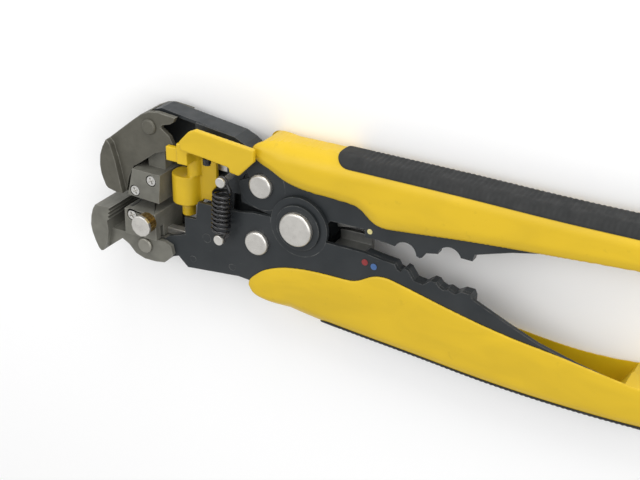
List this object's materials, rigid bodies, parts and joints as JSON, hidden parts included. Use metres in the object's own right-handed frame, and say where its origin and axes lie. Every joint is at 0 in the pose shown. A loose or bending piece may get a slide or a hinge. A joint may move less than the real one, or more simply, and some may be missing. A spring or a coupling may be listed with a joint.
{
  "type": "wire stripper",
  "caption": "Self-adjusting wire stripper with gripping jaws, sliding blade blocks, a wire cutter and a crimping die between two soft-backed handles.",
  "frame": {"origin": "on the main pivot's axis, in the plane of the flat sides that the tool lies on", "axes": "+X towards the handle ends, +Y towards the upper handle, +Z through the thickness, up from the side that it lies on"},
  "size_m": [0.2136, 0.0706, 0.0243],
  "materials": {
    "frame_steel": "satin",
    "rivet_steel": "satin",
    "rivet_cast": "satin",
    "jaw_cast": "matte",
    "jaw_dark": "matte",
    "blade_steel": "satin",
    "screw_nickel": "gloss",
    "spring_black": "gloss",
    "grip_yellow": "satin",
    "stop_yellow": "satin",
    "grip_soft": "matte",
    "knurl_brass": "satin",
    "marker_red": "gloss",
    "marker_blue": "gloss",
    "marker_cream": "gloss"
  },
  "bodies": {
    "lower_frame": {"frame_plate_near": "frame_steel", "frame_plate_far": "frame_steel", "frame_spacers": "frame_steel", "main_rivet": "rivet_steel", "main_washers": "frame_steel", "main_bush": "rivet_steel", "lower_link_rivet": "rivet_steel", "lower_link_bush": "rivet_steel", "arm_pivot_pin": "frame_steel", "lower_jaw": "jaw_cast", "lower_jaw_rivet": "rivet_cast", "spring_post_lower": "rivet_steel", "jaw_spring": "spring_black", "lower_crimp_die": "frame_steel", "lower_cutter_blade": "blade_steel", "red_marker": "marker_red", "blue_marker": "marker_blue", "lower_grip_near": "grip_yellow", "lower_grip_far": "grip_yellow", "lower_grip_insert": "grip_soft"},
    "upper_handle": {"upper_handle_plate_near": "frame_steel", "upper_handle_plate_far": "frame_steel", "upper_link_rivet": "rivet_steel", "upper_link_bush": "rivet_steel", "upper_crimp_die": "frame_steel", "upper_cutter_blade": "blade_steel", "yellow_marker": "marker_cream", "upper_grip_near": "grip_yellow", "upper_grip_far": "grip_yellow", "upper_grip_insert": "grip_soft"},
    "upper_arm": {"upper_arm": "frame_steel", "upper_jaw": "jaw_dark", "upper_jaw_rivet": "jaw_dark", "spring_post_upper": "rivet_steel"},
    "lower_carriage": {"lower_blade_block": "jaw_cast", "lower_stripping_blade": "blade_steel", "lower_blade_screw": "screw_nickel", "lower_drawbar": "rivet_steel", "knob_stud": "rivet_steel"},
    "upper_carriage": {"upper_blade_block": "jaw_cast", "upper_stripping_blade": "blade_steel", "upper_blade_screws": "screw_nickel", "upper_drawbar": "rivet_steel"},
    "length_stop": {"length_stop": "stop_yellow", "stop_spring": "spring_black"},
    "adjusting_knob": {"knob_barrel": "knurl_brass", "knob_cap": "rivet_steel"}
  },
  "joints": [
    {"name": "upper_handle_hinge", "type": "hinge", "parent": "lower_frame", "child": "upper_handle", "pos_m": [0, 0, 0.0088], "axis": [0, 0, 1], "range_deg": [-9, 4], "stiffness_Nm_per_rad": 0.5},
    {"name": "upper_arm_hinge", "type": "hinge", "parent": "lower_frame", "child": "upper_arm", "pos_m": [-0.036, -0.013, 0.0088], "axis": [0, 0, 1], "range_deg": [-3.3, 7.3], "deforming": ["jaw_spring"]},
    {"name": "lower_carriage_slide", "type": "slide", "parent": "lower_frame", "child": "lower_carriage", "axis": [1, 0, 0], "range_m": [0, 0.008], "stiffness_N_per_m": 150},
    {"name": "upper_carriage_slide", "type": "slide", "parent": "upper_arm", "child": "upper_carriage", "axis": [1, 0, 0], "range_m": [0, 0.008]},
    {"name": "length_stop_slide", "type": "slide", "parent": "upper_carriage", "child": "length_stop", "axis": [1, 0, 0], "range_m": [0, 0.003]},
    {"name": "adjusting_knob_turn", "type": "hinge", "parent": "lower_carriage", "child": "adjusting_knob", "pos_m": [-0.0578, -0.0105, 0.0208], "axis": [0, 0, 1], "range_deg": [-150, 150]}
  ],
  "couplings": [
    {"joint": "upper_arm_hinge", "follows": "upper_handle_hinge", "ratio": -0.8},
    {"joint": "upper_carriage_slide", "follows": "lower_carriage_slide", "ratio": 1}
  ]
}
